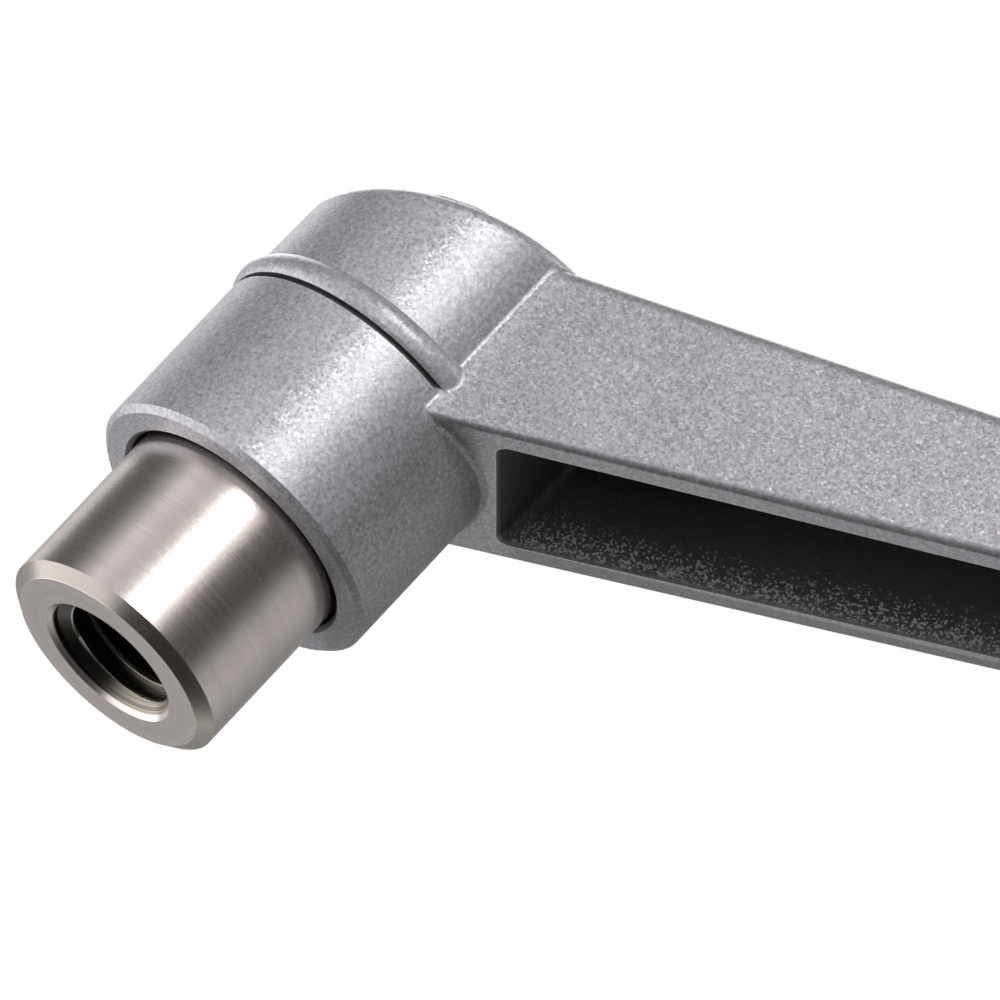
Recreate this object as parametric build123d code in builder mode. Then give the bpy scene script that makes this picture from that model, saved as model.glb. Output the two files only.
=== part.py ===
from build123d import *
from math import cos, radians, sin, sqrt, tan
import os

# Adjustable clamping lever with a female thread: a die-cast lever turns freely on a
# threaded steel insert while it is lifted, and grips it by serrations when let down.
# Z is the hub's axis, pointing up. The origin is the centre of the insert's clamping
# face, at the mouth of its thread. The arm rises along +X.

# Threaded insert
thread_radius = 4.0            # M8 nominal
thread_depth = 13.0
countersink_radius = 4.3
countersink_angle = 90
insert_radius = 6.9
insert_projection = 10.4       # out of the hub, lever down
insert_chamfer_radial = 0.8
insert_chamfer_axial = 0.6

# Hub of the casting, heights above its lower rim
barrel_radius = 9.0
barrel_height = 10.6
rim_edge_chamfer = 0.35
groove_height = 0.35
groove_depth = 0.35
bead_height = 1.6
bead_overhang = 0.3            # beyond the barrel
hub_step = 0.15                # narrower than the barrel, just above the bead
hub_draft = 1.2
crown_radius = 20.0
crown_shift = 5.0              # towards the arm, so that the top slopes up to it
crown_height = 21.9            # on the axis
land_width = 0.5               # flat ring round the screw's head
land_height = 21.7
crown_edge_radius = 0.8

# Arm of the casting
arm_reach = 63.0               # from the hub's axis to the tip
arm_root_height = 10.5         # underside where it meets the barrel
arm_root_depth = 11.75         # underside to top, at the barrel
arm_lower_rise = 23.6          # degrees above horizontal
arm_upper_rise = 18.1
arm_root_width = 13.7          # at the underside of the root
arm_plan_taper = 0.5           # degrees a side
arm_side_draft = 1.3           # degrees a side
arm_tip_radius = 5.4
arm_upper_edge_radius = 1.0
arm_lower_edge_radius = 0.5
root_fillet = 0.4              # where underside and barrel meet
side_fillet = 0.4              # where the sides meet bead and upper hub

# Hollow underside of the arm
wall = 1.65
pocket_root_gap = 0.4          # from the barrel to the hollow
pocket_tip_wall = 2.6
pocket_ceiling = 2.2
pocket_corner_radius = 1.0
pocket_ceiling_radius = 0.4

# Fits inside the hub
bore_clearance = 0.25
mouth_chamfer = 0.25
serration_teeth = 24
serration_depth = 0.65
serration_height = 3.4
serration_clearance = 0.2
serration_lead = 0.5           # the insert's teeth start this far below the hub's
web_height = 9.8               # underside of the web above the hub's lower rim
web_thickness = 2.0
shoulder_clearance = 0.25

# Retaining screw and return spring
screw_radius = 2.5             # M5 nominal
screw_thread_length = 5.5
screw_end_chamfer = 0.4
tapped_depth = 6.3
tapped_clearance = 0.02
tap_drill_radius = 2.1
drill_point_angle = 118
shoulder_radius = 3.0
head_height = 2.6
head_rise = 0.7                # above the land
head_clearance = 0.2
head_edge_chamfer = 0.3
socket_across_flats = 4.0
socket_depth = 1.7
wire_radius = 0.35
wire_sides = 6
spring_clearance = 0.25        # to the wall of its chamber
shoulder_play = 0.5            # from the spring to the screw's shoulder
active_coils = 3

# Heights and radii that the pieces share
hub_base = insert_projection
groove_base = hub_base + barrel_height
bead_base = groove_base + groove_height
bead_top = bead_base + bead_height
web_base = hub_base + web_height
web_top = web_base + web_thickness
land_top = hub_base + land_height
head_top = land_top + head_rise
head_base = head_top - head_height
side_joint_low = bead_base + bead_height / 4
side_joint_high = bead_top + 3 * bead_height
serration_base = web_base - serration_height
insert_shoulder = serration_base - serration_lead
bore_radius = insert_radius + bore_clearance
spring_radius = shoulder_radius + shoulder_play + wire_radius
chamber_radius = spring_radius + wire_radius + spring_clearance
head_radius = chamber_radius - head_clearance
land_radius = chamber_radius + land_width
hub_bottom_radius = barrel_radius - hub_step
hub_top_radius = hub_bottom_radius - (crown_height - bead_top + hub_base) * tan(radians(hub_draft))


def serration_outline(outer, inner):
    """Corners of a ring of flat-topped teeth between two radii."""
    pitch = 360 / serration_teeth
    corners = []
    for tooth in range(serration_teeth):
        for share, radius in ((-0.38, inner), (-0.12, outer), (0.12, outer), (0.38, inner)):
            turn = radians((tooth + share) * pitch)
            corners.append((radius * cos(turn), radius * sin(turn)))
    return corners


def arm_underside(x):
    """Height of the arm's underside at a distance from the hub's axis."""
    return hub_base + arm_root_height + (x - barrel_radius) * tan(radians(arm_lower_rise))


def arm_top(x):
    """Height of the arm's top at a distance from the hub's axis."""
    root = hub_base + arm_root_height + arm_root_depth
    return root + (x - barrel_radius) * tan(radians(arm_upper_rise))


# The arm's blank: a tapered plan with drafted sides, kept between underside and top
plan_base = hub_base
side_slope = tan(radians(arm_side_draft))
taper_slope = tan(radians(arm_plan_taper))
half_width_root = arm_root_width / 2 + (arm_underside(barrel_radius) - plan_base) * side_slope
half_width_tip = half_width_root - (arm_reach - barrel_radius) * taper_slope
half_width_axis = half_width_root + barrel_radius * taper_slope
plan_tip = arm_reach + (arm_underside(arm_reach) - plan_base) * side_slope
plan_height = arm_top(plan_tip) - plan_base + wall

with BuildPart() as arm:
    with BuildSketch(Plane.XY.offset(plan_base)):
        with BuildLine():
            Polyline(
                (0, -half_width_axis),
                (plan_tip, -half_width_tip),
                (plan_tip, half_width_tip),
                (0, half_width_axis),
                close=True,
            )
        make_face()
        fillet(vertices().group_by(Axis.X)[-1], radius=arm_tip_radius)
    extrude(amount=plan_height, taper=arm_side_draft)
    with BuildSketch(Plane.XZ):
        with BuildLine():
            Polyline(
                (0, arm_underside(0)),
                (plan_tip, arm_underside(plan_tip)),
                (plan_tip, arm_top(plan_tip)),
                (0, arm_top(0)),
                close=True,
            )
        make_face()
    extrude(amount=arm_root_width, both=True, mode=Mode.INTERSECT)
    upper_face = faces().filter_by(lambda f: f.normal_at().Z > 0.9).sort_by(Axis.Z)[-1]
    lower_face = faces().filter_by(lambda f: f.normal_at().Z < -0.9).sort_by(Axis.Z)[0]
    fillet(upper_face.edges().filter_by(lambda e: e.center().X > 0.1), radius=arm_upper_edge_radius)
    fillet(lower_face.edges().filter_by(lambda e: e.center().X > 0.1), radius=arm_lower_edge_radius)


# The hollow under the arm, as the core that leaves it
pocket_start = barrel_radius + pocket_root_gap
pocket_end = plan_tip - pocket_tip_wall
core_half_root = half_width_root - wall - (pocket_start - barrel_radius) * taper_slope
core_half_tip = half_width_tip - wall + pocket_tip_wall * taper_slope

with BuildPart() as pocket_core:
    with BuildSketch(Plane.XY.offset(plan_base)):
        with BuildLine():
            Polyline(
                (pocket_start, -core_half_root),
                (pocket_end, -core_half_tip),
                (pocket_end, core_half_tip),
                (pocket_start, core_half_root),
                close=True,
            )
        make_face()
        fillet(vertices().group_by(Axis.X)[0], radius=pocket_corner_radius)
        fillet(vertices().group_by(Axis.X)[-1], radius=arm_tip_radius - wall)
    extrude(amount=plan_height, taper=arm_side_draft)
    with BuildSketch(Plane.XZ):
        with BuildLine():
            Polyline(
                (0, hub_base),
                (plan_tip, hub_base),
                (plan_tip, arm_top(plan_tip) - pocket_ceiling),
                (0, arm_top(0) - pocket_ceiling),
                close=True,
            )
        make_face()
    extrude(amount=arm_root_width, both=True, mode=Mode.INTERSECT)
    ceiling = faces().filter_by(lambda f: f.normal_at().Z > 0.9).sort_by(Axis.Z)[-1]
    fillet(ceiling.edges(), radius=pocket_ceiling_radius)

# The casting: barrel, groove, bead and crowned upper hub, then the arm and its hollow
with BuildPart() as lever:
    with BuildSketch(Plane.XZ) as hub_profile:
        with BuildLine():
            base = Line((0, hub_base), (barrel_radius, hub_base))
            side = Line(base @ 1, (barrel_radius, groove_base))
            step = Line(side @ 1, (barrel_radius - groove_depth, groove_base))
            root = Line(step @ 1, (barrel_radius - groove_depth, bead_base))
            under_bead = Line(root @ 1, (barrel_radius, bead_base))
            bead = ThreePointArc(
                under_bead @ 1,
                (barrel_radius + bead_overhang, bead_base + bead_height / 2),
                (hub_bottom_radius, bead_top),
            )
            upper = PolarLine(bead @ 1, crown_height, angle=90 + hub_draft)
            Polyline(upper @ 1, (0, (upper @ 1).Y), (0, hub_base))
        make_face()
    revolve(axis=Axis.Z)
    crown_drop = crown_radius - sqrt(crown_radius**2 - crown_shift**2)
    crown_centre = hub_base + crown_height + crown_drop - crown_radius
    with Locations((crown_shift, 0, crown_centre)):
        Sphere(crown_radius, mode=Mode.INTERSECT)
    rim_edge = edges().filter_by(GeomType.CIRCLE).sort_by(Axis.Z)[0]
    crown_edge = edges().filter_by(GeomType.BSPLINE)[0]
    fillet(crown_edge, radius=crown_edge_radius)
    chamfer(rim_edge, length=rim_edge_chamfer)
    add(arm.part)
    joints = edges(Select.NEW).filter_by(lambda e: e.center().X > arm_root_width / 3)
    lower_joint = joints.filter_by(lambda e: e.center().Z < groove_base)
    fillet(lower_joint, radius=root_fillet)
    creases = edges().filter_by(lambda e: hub_top_radius / 2 < e.center().X < barrel_radius)
    side_joint = creases.filter_by(lambda e: side_joint_low < e.center().Z < side_joint_high)
    fillet(side_joint, radius=side_fillet)
    # The flat land round the screw, raised at the back and sunk at the arm
    with Locations((0, 0, web_top)):
        Cylinder(land_radius, land_top - web_top, align=(Align.CENTER, Align.CENTER, Align.MIN))
    with Locations((0, 0, land_top)):
        Cylinder(
            land_radius,
            crown_height,
            align=(Align.CENTER, Align.CENTER, Align.MIN),
            mode=Mode.SUBTRACT,
        )
    # Bore for the insert, its serrations, the web and the spring's chamber
    with BuildSketch(Plane.XY.offset(hub_base)):
        Circle(bore_radius)
    extrude(amount=web_height - serration_height, mode=Mode.SUBTRACT)
    with BuildSketch(Plane.XY.offset(serration_base)):
        Polygon(*serration_outline(bore_radius, bore_radius - serration_depth), align=None)
    extrude(amount=serration_height, mode=Mode.SUBTRACT)
    with Locations((0, 0, web_base)):
        Cylinder(
            shoulder_radius + shoulder_clearance,
            web_thickness,
            align=(Align.CENTER, Align.CENTER, Align.MIN),
            mode=Mode.SUBTRACT,
        )
    with Locations((0, 0, web_top)):
        Cylinder(
            chamber_radius,
            crown_height,
            align=(Align.CENTER, Align.CENTER, Align.MIN),
            mode=Mode.SUBTRACT,
        )
    add(pocket_core.part, mode=Mode.SUBTRACT)
    mouth = edges().filter_by(GeomType.CIRCLE).group_by(Axis.Z)[0].sort_by(SortBy.RADIUS)[0]
    chamfer(mouth, length=mouth_chamfer)

# The threaded insert: chamfered sleeve, serrated at its upper end
with BuildPart() as insert:
    with BuildSketch(Plane.XZ):
        with BuildLine():
            Polyline(
                (0, 0),
                (insert_radius - insert_chamfer_radial, 0),
                (insert_radius, insert_chamfer_axial),
                (insert_radius, insert_shoulder),
                (insert_radius - serration_depth, insert_shoulder),
                (insert_radius - serration_depth, web_base),
                (0, web_base),
                close=True,
            )
        make_face()
    revolve(axis=Axis.Z)
    with BuildSketch(Plane.XY.offset(insert_shoulder)):
        crest = bore_radius - serration_clearance
        Polygon(*serration_outline(crest, crest - serration_depth), align=None)
    extrude(amount=web_base - insert_shoulder)
    with Locations(Location((0, 0, 0), (180, 0, 0))):
        CounterSinkHole(thread_radius, countersink_radius, thread_depth, countersink_angle)
    with Locations((0, 0, thread_depth)):
        drill_point = (thread_radius - tap_drill_radius) / tan(radians(drill_point_angle / 2))
        Cone(
            thread_radius,
            tap_drill_radius,
            drill_point,
            align=(Align.CENTER, Align.CENTER, Align.MIN),
            mode=Mode.SUBTRACT,
        )
    with Locations((0, 0, web_base)):
        Hole(tap_drill_radius)
        Hole(screw_radius + tapped_clearance, tapped_depth)

# The retaining screw: a shoulder screw with a low socket head
with BuildPart() as screw:
    with BuildSketch(Plane.XZ):
        with BuildLine():
            Polyline(
                (0, web_base - screw_thread_length),
                (screw_radius - screw_end_chamfer, web_base - screw_thread_length),
                (screw_radius, web_base - screw_thread_length + screw_end_chamfer),
                (screw_radius, web_base),
                (shoulder_radius, web_base),
                (shoulder_radius, head_base),
                (head_radius, head_base),
                (head_radius, head_top),
                (0, head_top),
                close=True,
            )
        make_face()
    revolve(axis=Axis.Z)
    head_edge = edges().filter_by(GeomType.CIRCLE).group_by(Axis.Z)[-1]
    chamfer(head_edge, length=head_edge_chamfer)
    with BuildSketch(Plane.XY.offset(head_top - socket_depth)):
        RegularPolygon(socket_across_flats / 2, 6, major_radius=False)
    extrude(amount=socket_depth, mode=Mode.SUBTRACT)

# The return spring: closed and ground ends, between the web and the screw's head.
# Its round wire is drawn with a few flat sides, so that the coils stay light.
end_pitch = 2 * wire_radius
active_pitch = (head_base - web_top - 2 * end_pitch) / active_coils
with BuildPart() as spring:
    with BuildLine() as coil:
        Helix(end_pitch, end_pitch, spring_radius, center=(0, 0, web_top))
        Helix(
            active_pitch,
            active_pitch * active_coils,
            spring_radius,
            center=(0, 0, web_top + end_pitch),
        )
        Helix(end_pitch, end_pitch, spring_radius, center=(0, 0, head_base - end_pitch))
    with BuildSketch(Plane(origin=coil.line @ 0, z_dir=coil.line % 0)):
        RegularPolygon(wire_radius, wire_sides)
    sweep(path=coil.line, is_frenet=True)
    split(bisect_by=Plane.XY.offset(web_top), keep=Keep.TOP)
    split(bisect_by=Plane.XY.offset(head_base), keep=Keep.BOTTOM)

os.makedirs("parts", exist_ok=True)
lever.part.label = "lever"
insert.part.label = "threaded_insert"
screw.part.label = "retaining_screw"
spring.part.label = "return_spring"
export_step(lever.part, "parts/lever.step")
export_step(insert.part, "parts/threaded_insert.step")
export_step(screw.part, "parts/retaining_screw.step")
export_step(spring.part, "parts/return_spring.step")
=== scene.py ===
import math

import bmesh
import bpy
from mathutils import Matrix, Vector


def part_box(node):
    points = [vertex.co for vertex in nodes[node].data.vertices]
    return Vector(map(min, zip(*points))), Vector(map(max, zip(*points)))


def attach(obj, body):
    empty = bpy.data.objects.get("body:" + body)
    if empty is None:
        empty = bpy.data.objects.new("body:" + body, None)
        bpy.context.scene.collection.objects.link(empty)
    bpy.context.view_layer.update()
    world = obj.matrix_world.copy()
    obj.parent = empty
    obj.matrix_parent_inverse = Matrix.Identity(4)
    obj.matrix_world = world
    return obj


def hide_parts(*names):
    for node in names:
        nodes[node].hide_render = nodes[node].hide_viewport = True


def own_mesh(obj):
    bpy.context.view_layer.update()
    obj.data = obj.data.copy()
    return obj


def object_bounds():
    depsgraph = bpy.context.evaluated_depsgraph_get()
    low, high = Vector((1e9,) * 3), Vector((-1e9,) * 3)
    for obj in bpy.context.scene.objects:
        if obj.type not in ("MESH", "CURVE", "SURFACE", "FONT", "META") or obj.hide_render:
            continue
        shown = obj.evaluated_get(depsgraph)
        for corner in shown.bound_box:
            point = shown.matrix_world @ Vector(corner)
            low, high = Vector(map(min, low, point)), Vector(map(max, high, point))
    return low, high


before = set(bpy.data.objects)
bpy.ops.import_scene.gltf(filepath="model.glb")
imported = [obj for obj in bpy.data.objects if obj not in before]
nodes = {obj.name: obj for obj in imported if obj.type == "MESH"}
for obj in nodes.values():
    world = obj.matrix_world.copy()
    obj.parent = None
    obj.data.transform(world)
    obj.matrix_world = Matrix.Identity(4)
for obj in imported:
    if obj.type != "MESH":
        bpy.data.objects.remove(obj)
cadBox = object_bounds()
scene = bpy.context.scene
mm = 0.001
print("frame loaded")


# The camera is low on the arm's side and looks up into its hollow
view = {
    "azimuth": 20.1,      # from the -Y side towards the arm
    "elevation": -23.0,
    "roll": 43.1,
    "distance": 1.0,
    "aim": Vector((10.3, -0.8, 20.7)) * mm,
    "width": 53.8 * mm,   # of the picture, at the aim
    "sensor": 36,
    "clip": (0.01, 20),
}


def outwardTo(azimuth, elevation):
    az, el = math.radians(azimuth), math.radians(elevation)
    return Vector((math.sin(az) * math.cos(el), -math.cos(az) * math.cos(el), math.sin(el)))


def placeCamera():
    camera = bpy.data.cameras.new("camera")
    camera.sensor_width = view["sensor"]
    camera.lens = camera.sensor_width * view["distance"] / view["width"]
    camera.clip_start, camera.clip_end = view["clip"]
    outward = outwardTo(view["azimuth"], view["elevation"])
    roll = Matrix.Rotation(math.radians(view["roll"]), 3, "Z").to_quaternion()
    turn = outward.to_track_quat("Z", "Y") @ roll
    obj = bpy.data.objects.new("camera", camera)
    scene.collection.objects.link(obj)
    obj.matrix_world = Matrix.LocRotScale(view["aim"] + outward * view["distance"], turn, None)
    scene.camera = obj


placeCamera()
print("camera placed")


# Shader maths, written as Python expressions
class Sock:
    def __init__(self, shader, link):
        self.shader, self.link = shader, link

    def math(self, operation, *others):
        inputs = dict(enumerate((self, *others)))
        return self.shader.node("ShaderNodeMath", {"operation": operation}, inputs)

    def __add__(self, other):
        return self.math("ADD", other)

    def __sub__(self, other):
        return self.math("SUBTRACT", other)

    def __mul__(self, other):
        return self.math("MULTIPLY", other)

    def __truediv__(self, other):
        return self.math("DIVIDE", other)

    def __pow__(self, other):
        return self.math("POWER", other)

    def __rsub__(self, other):
        return self.math("MULTIPLY", -1.0) + other

    __radd__ = __add__
    __rmul__ = __mul__

    def clamp(self):
        return self.shader.node("ShaderNodeClamp", {}, {"Value": self})

    def step(self, low, high):    # 0 below low, 1 above high, smooth between
        settings = {"interpolation_type": "SMOOTHSTEP"}
        inputs = {"Value": self, "From Min": low, "From Max": high}
        return self.shader.node("ShaderNodeMapRange", settings, inputs)


class Shader:
    def __init__(self, owner, out="ShaderNodeOutputMaterial"):
        owner.use_nodes = True
        self.owner, self.tree = owner, owner.node_tree
        self.tree.nodes.clear()
        self.out = self.tree.nodes.new(out)

    def node(self, kind, settings=None, inputs=None, output=0):
        made = self.tree.nodes.new(kind)
        for key, value in (settings or {}).items():
            if key == "stops":
                self.fill(made.color_ramp.elements, value)
            else:
                setattr(made, key, value)
        for key, value in (inputs or {}).items():
            if isinstance(value, Sock):
                self.tree.links.new(value.link, made.inputs[key])
            elif made.inputs[key].type == "RGBA":
                made.inputs[key].default_value = (*value, 1)
            else:
                made.inputs[key].default_value = value
        return Sock(self, made.outputs[output])

    def fill(self, ramp, stops):    # places and colours, from the ramp's start to its end
        for place, colour in stops[1:-1]:
            ramp.new(place)
        for stop, (place, colour) in zip(ramp, stops):
            stop.position, stop.color = place, (*colour, 1)

    def place(self):
        return self.node("ShaderNodeTexCoord", output="Object")

    def split(self, vector):
        first = self.node("ShaderNodeSeparateXYZ", {}, {0: vector})
        return [Sock(self, output) for output in first.link.node.outputs]

    def join(self, x, y, z):
        return self.node("ShaderNodeCombineXYZ", {}, {0: x, 1: y, 2: z})

    def vector(self, operation, inputs, output=0):
        return self.node("ShaderNodeVectorMath", {"operation": operation}, inputs, output)

    def noise(self, vector, size, detail=2.0, roughness=0.5):
        inputs = {"Vector": vector, "Scale": 1 / size, "Detail": detail, "Roughness": roughness}
        return self.node("ShaderNodeTexNoise", {}, inputs)

    def mix(self, factor, a, b):    # the numbers are those of the node's colour sockets
        return self.node("ShaderNodeMix", {"data_type": "RGBA"}, {0: factor, 6: a, 7: b}, 2)

    def bump(self, height, depth, strength):
        inputs = {"Height": height, "Distance": depth, "Strength": strength}
        return self.node("ShaderNodeBump", {}, inputs)

    def show(self, shader):
        self.tree.links.new(shader.link, self.out.inputs["Surface"])
        return self.owner

    def surface(self, **inputs):
        named = {key.replace("_", " "): value for key, value in inputs.items()}
        return self.show(self.node("ShaderNodeBsdfPrincipled", {}, named))


def newShader(name):
    return Shader(bpy.data.materials.new(name))


def cover(obj, material):
    obj.data.materials.clear()
    obj.data.materials.append(material)


# The casting's powder coat: grains and leaning flakes, painted highlights along edges (partly
# edge wear), painted shade in corners, on the arm and in its hollow
coat = {
    "dark": (0.35, 0.345, 0.369),
    "light": (0.59, 0.58, 0.616),
    # Pale flakes, painted highlights along edges and painted glints in the hollow
    "sparkleAndHighlight": (0.85, 0.84, 0.87),
    "shade": (0.035, 0.034, 0.035),    # painted shade in grooves and corners
    "bareAndShade": (0.12, 0.118, 0.12),       # of pits, and painted shade in the hollow, on its rim and on the arm
    "grain": 0.26 * mm,
    "grainNoise": (3.0, 0.6),
    "grainShare": 0.8,        # of the tone, the rest is the clouds'
    "cloud": 6 * mm,
    "contrast": (0.3, 0.7),
    "flake": 0.125 * mm,
    "tilt": 0.09,             # how far the flakes lean
    "sparkle": (0.88, 0.98),
    "sparkleShare": 0.22,
    "pit": (0.1, 0.22),
    "pitShare": 0.28,
    "edge": 0.2 * mm,         # width of the painted highlight along edges, partly edge wear
    "edgeSamples": 6,
    "edgeTurn": (0.01, 0.12),
    "edgeOpen": (0.55, 0.85),
    "edgeHighlightShare": 0.3,
    "creviceShade": 0.9 * mm,      # how far the painted shade reaches in grooves and corners
    "creviceSamples": 8,
    "creviceOpen": (0.3, 0.9),
    "creviceShadeShare": 0.92,
    "arm": (6 * mm, 7 * mm),  # from the hub's axis, where painted shade darkens the arm's coat
    "armShare": 0.26,
    "roughness": 0.395,
    "grainRoughness": 0.1,
    "sparkleRoughness": -0.08,
    "metallic": 0.5,
    "bump": 0.02 * mm,
    "bumpStrength": 0.8,
}

# Inside the arm the coat is painted dark as shade, with painted glints as bright specks towards
# the rim.
# Heights are above the arm's underside.
hollow = {
    "start": (9.3 * mm, 9.4 * mm),       # from the hub's axis
    "half": (5.45 * mm, 5.65 * mm),      # of its width, to within its walls
    "turn": 57.0 * mm,                   # where its sides begin to round into its end
    "underside": (16.96 * mm, 0.437),    # height on the hub's axis, and rise
    "armTop": (29.71 * mm, 0.327),
    "roof": (1.0 * mm, 1.5 * mm),        # below the arm's top
    "lip": (0.1 * mm, 0.4 * mm),
    "corner": 2 * mm,                    # how far it has no specks, next to the hub
    "hollowShade": (-0.8 * mm, 1.5 * mm),       # heights where the painted shade begins
    "hollowShadeGrain": 2 * mm,                 # how much the grain moves them
    "hollowShadeCorner": 3 * mm,
    "glintHeight": 3.8 * mm,
    "crowd": 0.5,                        # how much denser the painted glints are at the rim
    "speck": (0.93, 1.3),
    "glintShare": 0.9,
    "rimSide": (5.2 * mm, 5.3 * mm),     # painted shade on the rim's +Y side
    "rimHeight": (0.1 * mm, 0.3 * mm),
    "rimStart": (9.5 * mm, 11 * mm),
    "rimShadeShare": 0.55,
}


def hollowShadeAndGlints(s, colour, position, grain, flake):
    x, y, z = position
    height = z - x * hollow["underside"][1] - hollow["underside"][0]
    roof = x * hollow["armTop"][1] + hollow["armTop"][0] - z
    past = (x - hollow["turn"]).math("MAXIMUM", 0.0)
    inside = 1 - ((past * past + y * y) ** 0.5).step(*hollow["half"])
    inside = inside * x.step(*hollow["start"]) * roof.step(*hollow["roof"])
    inside = inside * height.step(*hollow["lip"])
    corner = 1 - x.step(hollow["start"][0], hollow["start"][0] + hollow["corner"])
    border = height + (grain - 0.5) * hollow["hollowShadeGrain"] + corner * hollow["hollowShadeCorner"]
    # Painted shadow on the hollow's walls, above heights that the grain moves
    hollowShade = inside * border.step(*hollow["hollowShade"])
    crowd = (1 - height.step(0.0, hollow["glintHeight"])) * hollow["crowd"]
    # Painted glints as bright specks, crowded towards the rim
    speck = inside * (flake + crowd).step(*hollow["speck"]) * (1 - corner)
    # Painted shade on the rim's +Y side
    rimShade = y.step(*hollow["rimSide"]) * (1 - height.step(*hollow["rimHeight"]))
    rimShade = rimShade * x.step(*hollow["rimStart"])
    colour = s.mix(rimShade * hollow["rimShadeShare"], colour, coat["bareAndShade"])
    colour = s.mix(hollowShade.clamp(), colour, coat["bareAndShade"])
    return s.mix(speck.clamp() * hollow["glintShare"], colour, coat["sparkleAndHighlight"])


def powderCoat():
    s = newShader("powder_coat")
    place = s.place()
    position = s.split(place)
    grain = s.noise(place, coat["grain"], *coat["grainNoise"])
    cloud = s.noise(place, coat["cloud"])
    inputs = {"Vector": place, "Scale": 1 / coat["flake"]}
    cells = s.node("ShaderNodeTexVoronoi", {}, inputs, "Color")
    flake = s.split(cells)[0]
    sparkle = flake.step(*coat["sparkle"])
    pit = 1 - flake.step(*coat["pit"])

    bevel = s.node("ShaderNodeBevel", {"samples": coat["edgeSamples"]}, {"Radius": coat["edge"]})
    flat = s.node("ShaderNodeNewGeometry", output="Normal")
    along = s.vector("DOT_PRODUCT", {0: bevel, 1: flat}, "Value")
    settings, inputs = {"samples": coat["creviceSamples"]}, {"Distance": coat["creviceShade"]}
    openness = s.node("ShaderNodeAmbientOcclusion", settings, inputs, "AO")
    # Painted highlight along open edges, partly edge wear
    edge = (1 - along).step(*coat["edgeTurn"]) * openness.step(*coat["edgeOpen"])
    # Painted shade in grooves and corners, where little is open around the surface
    creviceShade = 1 - openness.step(*coat["creviceOpen"])

    tone = grain.step(*coat["contrast"]) * coat["grainShare"]
    tone = tone + cloud.step(*coat["contrast"]) * (1 - coat["grainShare"])
    colour = s.mix(tone.clamp(), coat["dark"], coat["light"])
    # Painted shade on the arm, darker than the hub
    arm = position[0].step(*coat["arm"])
    colour = s.mix(arm * coat["armShare"], colour, coat["bareAndShade"])
    # Pale flakes, and the painted highlight along edges
    pale = sparkle * coat["sparkleShare"] + edge * coat["edgeHighlightShare"]
    colour = s.mix(pale.clamp(), colour, coat["sparkleAndHighlight"])
    colour = s.mix(pit * coat["pitShare"], colour, coat["bareAndShade"])
    colour = s.mix(creviceShade * coat["creviceShadeShare"], colour, coat["shade"])
    colour = hollowShadeAndGlints(s, colour, position, grain, flake)

    rough = coat["roughness"] + grain * coat["grainRoughness"]
    rough = rough + sparkle * coat["sparkleRoughness"]
    lean = s.vector("SUBTRACT", {0: cells, 1: (0.5, 0.5, 0.5)})
    lean = s.vector("SCALE", {0: lean, "Scale": coat["tilt"]})
    normal = s.bump(grain, coat["bump"], coat["bumpStrength"])
    normal = s.vector("NORMALIZE", {0: s.vector("ADD", {0: normal, 1: lean})})
    return s.surface(
        Base_Color=colour, Metallic=coat["metallic"], Roughness=rough, Normal=normal,
    )


# The steels, turned or drawn, with their marks round the hub's axis
steels = {
    "turned_steel": {
        "colour": (0.605, 0.55, 0.53),
        "stain": (0.42, 0.375, 0.36),
        "roughness": 0.25,
        "marks": 0.7,
        "boreShadeAndLight": (3.9 * mm, 3.95 * mm, 0.2 * mm),    # radii and height of the painted shade
        "chamfer": (5.6 * mm, 0.6 * mm),            # inner radius and top
    },
    "dark_steel": {
        "colour": (0.12, 0.12, 0.125),
        "stain": (0.07, 0.07, 0.075),
        "roughness": 0.4,
        "marks": 1.0,
    },
    "spring_wire": {
        "colour": (0.44, 0.43, 0.42),
        "stain": (0.3, 0.29, 0.28),
        "roughness": 0.32,
        "marks": 0.3,
    },
    "cut_thread": {
        "colour": (0.4, 0.375, 0.34),
        "stain": (0.3, 0.28, 0.25),
        "roughness": 0.3,
        "marks": 1.5,
        "boreShadeAndLight": (3.33 * mm, 3.41 * mm, -0.2 * mm),
    },
}
marking = {
    "ring": 0.07 * mm,        # spacing of the tool marks
    "ringNoise": (2.0, 0.7),
    "wide": 0.9 * mm,
    "wideShare": 0.5,
    "contrast": (0.3, 0.7),
    "share": 0.45,
    "speck": 0.22 * mm,
    "speckNoise": (3.0, 0.6),
    "patch": 2.2 * mm,
    "patchDetail": 3.0,
    "wornPatch": (0.52, 0.75),
    "wornSpeck": (0.45, 0.7),
    "wornShare": 0.5,
    "ringRoughness": 0.06,
    "wornRoughness": 0.14,
    "speckBump": 1.2,
    "bump": 0.004 * mm,
    "bumpStrength": 0.7,
}
# Painted shade between the thread's crests, and painted light on one side
boreShadeAndLight = {
    "root": (0.02, 0.018, 0.017),
    "litTone": (0.27, 0.24, 0.195),
    "wall": (4.03 * mm, 4.09 * mm),
    "rise": 0.1 * mm,
    "litSide": (0.94, 0.34),
    "litStart": (0.2 * mm, 2.8 * mm),
    "litRings": (0.3, 0.6),
    "share": 0.95,
}
chamfer = {
    "colour": (0.26, 0.235, 0.2),
    "foot": (0.01 * mm, 0.03 * mm),
    "soft": 0.01 * mm,
    "rise": 0.1 * mm,
    "share": 0.75,
}


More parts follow.
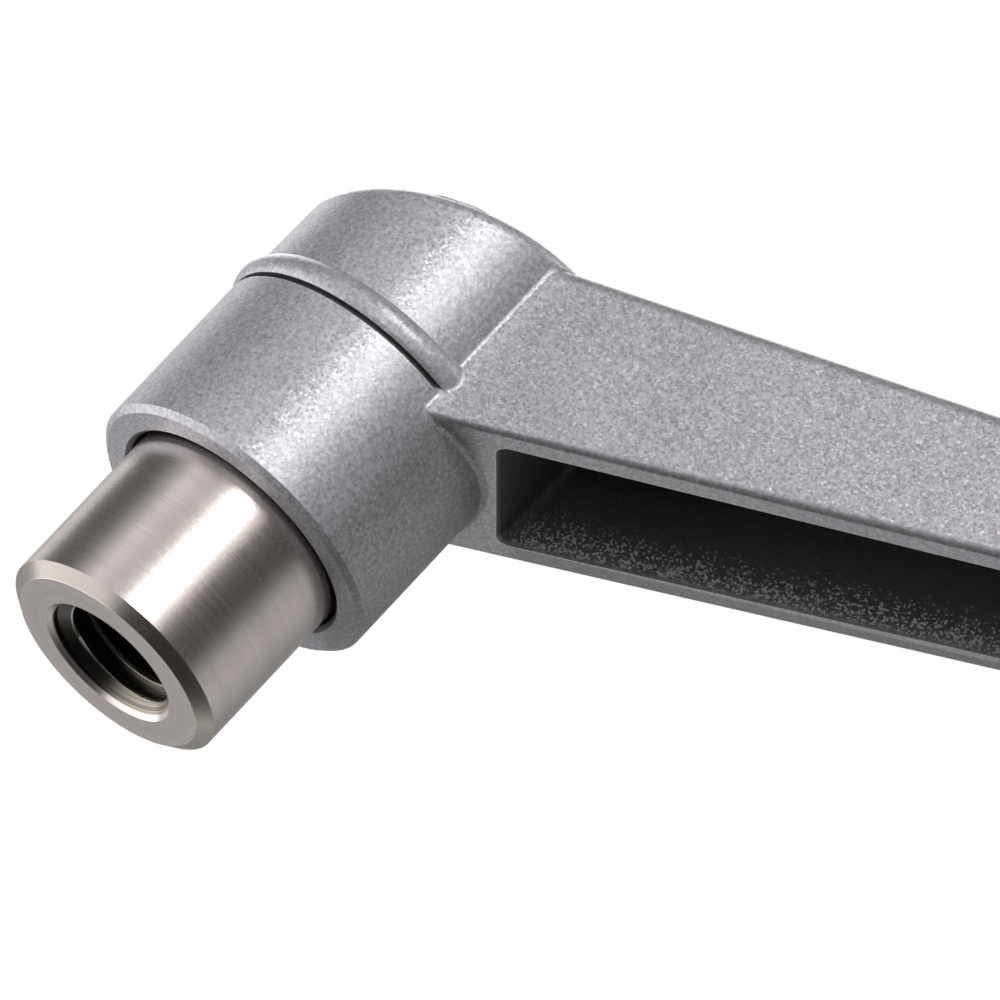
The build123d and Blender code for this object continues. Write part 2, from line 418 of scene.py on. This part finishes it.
def boreShadeTint(s, tint, limits, position, radius, rings):
    x, y, z = position
    low, high, start = limits
    # Painted shade in the bore and between the thread's crests
    dark = radius.step(low, high) * (1 - radius.step(*boreShadeAndLight["wall"]))
    dark = dark * z.step(start, start + boreShadeAndLight["rise"])
    # Painted light on one side of the bore
    litMask = (x * boreShadeAndLight["litSide"][0] + y * boreShadeAndLight["litSide"][1]).step(*boreShadeAndLight["litStart"])
    litTone = s.mix(litMask * rings.step(*boreShadeAndLight["litRings"]), boreShadeAndLight["root"], boreShadeAndLight["litTone"])
    return s.mix(dark * boreShadeAndLight["share"], tint, litTone)


def chamferTint(s, tint, limits, z, radius):
    inner, top = limits
    edge = z.step(*chamfer["foot"]) * radius.step(inner, inner + chamfer["rise"])
    edge = edge * (1 - z.step(top - chamfer["soft"], top + chamfer["soft"]))
    return s.mix(edge * chamfer["share"], tint, chamfer["colour"])


def steel(name):
    values = steels[name]
    s = newShader(name)
    place = s.place()
    x, y, z = position = s.split(place)
    radius = (x * x + y * y) ** 0.5
    around = s.join(radius, z, 0.0)
    rings = s.noise(around, marking["ring"], *marking["ringNoise"])
    wide = s.noise(around, marking["wide"])
    speck = s.noise(place, marking["speck"], *marking["speckNoise"])
    patch = s.noise(place, marking["patch"], marking["patchDetail"])
    worn = (patch.step(*marking["wornPatch"]) * speck.step(*marking["wornSpeck"])).clamp()
    marks = rings * (1 - marking["wideShare"]) + wide * marking["wideShare"]
    marks = marks.step(*marking["contrast"])
    tint = s.mix(marks * marking["share"], values["colour"], values["stain"])
    tint = s.mix(worn * marking["wornShare"], tint, values["stain"])
    if "boreShadeAndLight" in values:
        tint = boreShadeTint(s, tint, values["boreShadeAndLight"], position, radius, rings)
    if "chamfer" in values:
        tint = chamferTint(s, tint, values["chamfer"], z, radius)
    rough = values["roughness"] + rings.step(*marking["contrast"]) * marking["ringRoughness"]
    rough = rough + worn * marking["wornRoughness"]
    height = rings * values["marks"] + speck * marking["speckBump"]
    normal = s.bump(height, marking["bump"], marking["bumpStrength"])
    return s.surface(Base_Color=tint, Metallic=1.0, Roughness=rough, Normal=normal)


wireSteel = steel("spring_wire")
cover(nodes["lever"], powderCoat())
cover(nodes["threaded_insert"], steel("turned_steel"))
cover(nodes["retaining_screw"], steel("dark_steel"))
cover(nodes["return_spring"], wireSteel)
print("materials made")


meshing = {
    "merge": 0.0005 * mm,
    "sharp": 35,              # degrees between faces that meet in a hard edge
}


def finishMesh(name, bm, material, body):
    bmesh.ops.remove_doubles(bm, verts=bm.verts, dist=meshing["merge"])
    bmesh.ops.recalc_face_normals(bm, faces=bm.faces)
    mesh = bpy.data.meshes.new(name)
    bm.to_mesh(mesh)
    bm.free()
    mesh.set_sharp_from_angle(angle=math.radians(meshing["sharp"]))
    obj = bpy.data.objects.new(name, mesh)
    scene.collection.objects.link(obj)
    mesh.materials.append(material)
    for face in mesh.polygons:
        face.use_smooth = True
    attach(obj, body)
    return obj


# The thread's turns, one helical ridge inside the insert
thread = {
    "radius": 4.0 * mm,       # at the wall
    "crest": 3.32 * mm,
    "pitch": 1.25 * mm,
    "foot": 0.44,             # half widths of the ridge, as shares of the pitch
    "flat": 0.07,
    "sunk": 0.03 * mm,        # the ridge's foot, into the wall
    "start": -0.73 * mm,
    "turns": 10.6,
    "steps": 60,              # to a turn
    "face": 0.02 * mm,        # the ridge stays above this
    "mouth": 4.31 * mm,       # just into the countersink's wall, at the clamping face
    "lead": 1.0,              # how fast the countersink closes on the crests
}


def threadTurns():
    bm = bmesh.new()
    foot, flat = thread["pitch"] * thread["foot"], thread["pitch"] * thread["flat"]
    outer = thread["radius"] + thread["sunk"]
    middle, waist = (outer + thread["crest"]) / 2, (foot + flat) / 2
    corners = (
        (outer, -foot), (middle, -waist), (thread["crest"], -flat),
        (thread["crest"], flat), (middle, waist), (outer, foot),
    )
    ring = [bm.verts.new((r, 0, thread["start"] + z)) for r, z in corners]
    profile = bm.faces.new(ring)
    bmesh.ops.spin(
        bm, geom=[profile, *profile.edges, *profile.verts], cent=(0, 0, 0), axis=(0, 0, 1),
        dvec=(0, 0, thread["pitch"] / thread["steps"]), angle=math.tau * thread["turns"],
        steps=round(thread["turns"] * thread["steps"]),
    )
    for v in bm.verts:    # the countersink cuts the first turn away
        v.co.z = max(v.co.z, thread["face"])
        cone = thread["mouth"] - v.co.z * thread["lead"]
        r = math.hypot(v.co.x, v.co.y)
        if r < cone:
            v.co.x, v.co.y = v.co.x * cone / r, v.co.y * cone / r
    finishMesh("thread_turns", bm, steel("cut_thread"), "insert")


threadTurns()
print("thread cut")


# The return spring in round wire, with a closed turn at each end
spring = {
    "wire": 0.35 * mm,
    "radius": 3.85 * mm,
    "coils": 3,
    "steps": 48,
    "sides": 12,
    "squeezed": 4.1 / 8.0,    # its length with the lever lifted, to its length at rest
}


def returnSpring():
    low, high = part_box("return_spring")
    wire = spring["wire"]
    bm = bmesh.new()
    made = bmesh.ops.create_circle(bm, cap_ends=True, radius=wire, segments=spring["sides"])
    upright = Matrix.Rotation(math.radians(90), 3, "X")
    bmesh.ops.rotate(bm, verts=made["verts"], matrix=upright, cent=(0, 0, 0))
    bmesh.ops.translate(bm, verts=made["verts"], vec=(spring["radius"], 0, low.z + wire))
    closed = 2 * wire
    rise = (high.z - low.z - 2 * wire - 2 * closed) / spring["coils"]
    end = list(bm.faces)
    for turns, pitch in ((1, closed), (spring["coils"], rise), (1, closed)):
        swept = bmesh.ops.spin(
            bm, geom=[end[0], *end[0].edges, *end[0].verts], cent=(0, 0, 0), axis=(0, 0, 1),
            dvec=(0, 0, pitch / spring["steps"]), angle=math.tau * turns,
            steps=turns * spring["steps"],
        )
        end = [g for g in swept["geom_last"] if isinstance(g, bmesh.types.BMFace)]
    obj = finishMesh("return_spring_wire", bm, wireSteel, "spring")
    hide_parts("return_spring")
    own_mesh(obj)


returnSpring()
print("spring wound")


# Floor, studio light and white surroundings
studio = {
    "hub": Vector((0, 0, 18)) * mm,    # the lamps face this
    "floor": 1.6,
    "gap": 0.02 * mm,         # under the clamping face
    "pale": (0.86, 0.86, 0.86),
    "glow": 0.35,             # the floor's share of white below the object
    "fade": (0.05, 0.6),      # it turns all white between these distances
}
warm, white, cool = (1, 0.99, 0.985), (1, 1, 1), (0.98, 0.985, 1)
# Azimuth from -Y towards the arm, elevation, distance, width, height, watts, colour
lamps = {
    "key": (9, 26, 0.35, 0.085, 0.13, 0.39, warm),
    "wide": (14, 26, 0.35, 0.2, 0.2, 0.15, warm),
    "near": (-26, 23, 0.12, 0.08, 0.08, 0.007, warm),
    "kicker": (6, -24, 0.08, 0.03, 0.02, 0.006, warm),
    "lowLeft": (-88, -42, 0.35, 0.45, 0.45, 1.25, cool),
    "front": (-8, -16, 0.6, 0.25, 0.12, 0.2, white),
    "upperLeft": (-120, 10, 0.3, 0.12, 0.2, 0.03, white),
    "backLeft": (-132, 40, 0.6, 0.3, 0.3, 1.1, white),
    "backRight": (152, 52, 0.6, 0.3, 0.3, 0.7, white),
    "end": (95, 62, 0.5, 0.25, 0.25, 0.35, white),
    "under": (172, -38, 0.4, 0.15, 0.15, 0.11, white),
}
# Brightness round the horizon as metal sees it, by azimuth as above
horizon = (
    (-180, 0.34), (-126, 0.55), (-100, 0.16), (-82, 0.12), (-68, 0.18), (-55, 0.6),
    (-43, 1.0), (-30, 0.5), (-20, 0.38), (-12, 0.28), (8, 0.9), (22, 0.35), (38, 0.14),
    (48, 0.09), (72, 0.06), (83, 0.22), (95, 0.6), (123, 0.66), (165, 0.32), (180, 0.34),
)
# Brightness below and above the horizon, and the heights where each gives way
sky = {
    "nadir": (0.06, 0.06, 0.06),
    "nadirEnd": (-0.75, -0.35),
    "low": (0.62, 0.62, 0.62),
    "lowEnd": (-0.3, 0.15),
    "zenith": (0.35, 0.35, 0.35),
    "zenithStart": (0.55, 0.75),
    "mattLow": (0.01, 0.01, 0.01),
    "mattHigh": (0.08, 0.08, 0.08),
    "mattRise": (-0.2, 0.3),
}


def placeLamps():
    for name, (azimuth, elevation, distance, width, height, watts, colour) in lamps.items():
        lamp = bpy.data.lights.new(name, "AREA")
        lamp.shape, lamp.size, lamp.size_y = "RECTANGLE", width, height
        lamp.energy, lamp.color = watts, colour
        outward = outwardTo(azimuth, elevation)
        obj = bpy.data.objects.new(name, lamp)
        scene.collection.objects.link(obj)
        turn = outward.to_track_quat("Z", "Y")
        obj.matrix_world = Matrix.LocRotScale(studio["hub"] + outward * distance, turn, None)


def floorShader():
    s = newShader("floor")
    x, y, z = s.split(s.place())
    away = ((x * x + y * y) ** 0.5).step(*studio["fade"])
    matt = s.node("ShaderNodeBsdfDiffuse", {}, {"Color": studio["pale"]})
    glow = s.node("ShaderNodeEmission", {}, {"Color": white})
    share = away * (1 - studio["glow"]) + studio["glow"]
    pale = s.node("ShaderNodeMixShader", {}, {0: share, 1: matt, 2: glow})
    back = s.node("ShaderNodeNewGeometry", output="Backfacing")
    clear = s.node("ShaderNodeBsdfTransparent")    # for views from below
    return s.show(s.node("ShaderNodeMixShader", {}, {0: back, 1: pale, 2: clear}))


def layFloor():
    bm = bmesh.new()
    bmesh.ops.create_grid(bm, x_segments=1, y_segments=1, size=studio["floor"])
    bmesh.ops.translate(bm, verts=bm.verts, vec=(0, 0, cadBox[0].z - studio["gap"]))
    mesh = bpy.data.meshes.new("floor")
    bm.to_mesh(mesh)
    bm.free()
    floor = bpy.data.objects.new("floor", mesh)
    scene.collection.objects.link(floor)
    mesh.materials.append(floorShader())
    for ray in ("visible_diffuse", "visible_glossy", "visible_transmission", "visible_shadow"):
        setattr(floor, ray, False)


def lightWorld():
    scene.world = bpy.data.worlds.new("studio")
    s = Shader(scene.world, "ShaderNodeOutputWorld")
    x, y, z = s.split(s.node("ShaderNodeTexCoord", output="Generated"))
    turn = x.math("ARCTAN2", y * -1.0) / math.tau + 0.5
    stops = [((azimuth + 180) / 360, (level, level, level)) for azimuth, level in horizon]
    around = s.node("ShaderNodeValToRGB", {"stops": stops}, {"Fac": turn})
    metal = s.mix(z.step(*sky["nadirEnd"]), sky["nadir"], sky["low"])
    metal = s.mix(z.step(*sky["lowEnd"]), metal, around)
    metal = s.mix(z.step(*sky["zenithStart"]), metal, sky["zenith"])
    matt = s.mix(z.step(*sky["mattRise"]), sky["mattLow"], sky["mattHigh"])
    shiny = s.node("ShaderNodeLightPath", output="Is Glossy Ray")
    seen = s.node("ShaderNodeLightPath", output="Is Camera Ray")
    colour = s.mix(seen, s.mix(shiny, matt, metal), white)
    s.show(s.node("ShaderNodeBackground", {}, {"Color": colour}))


placeLamps()
layFloor()
lightWorld()
scene.view_settings.view_transform = "Standard"
print("studio lit")
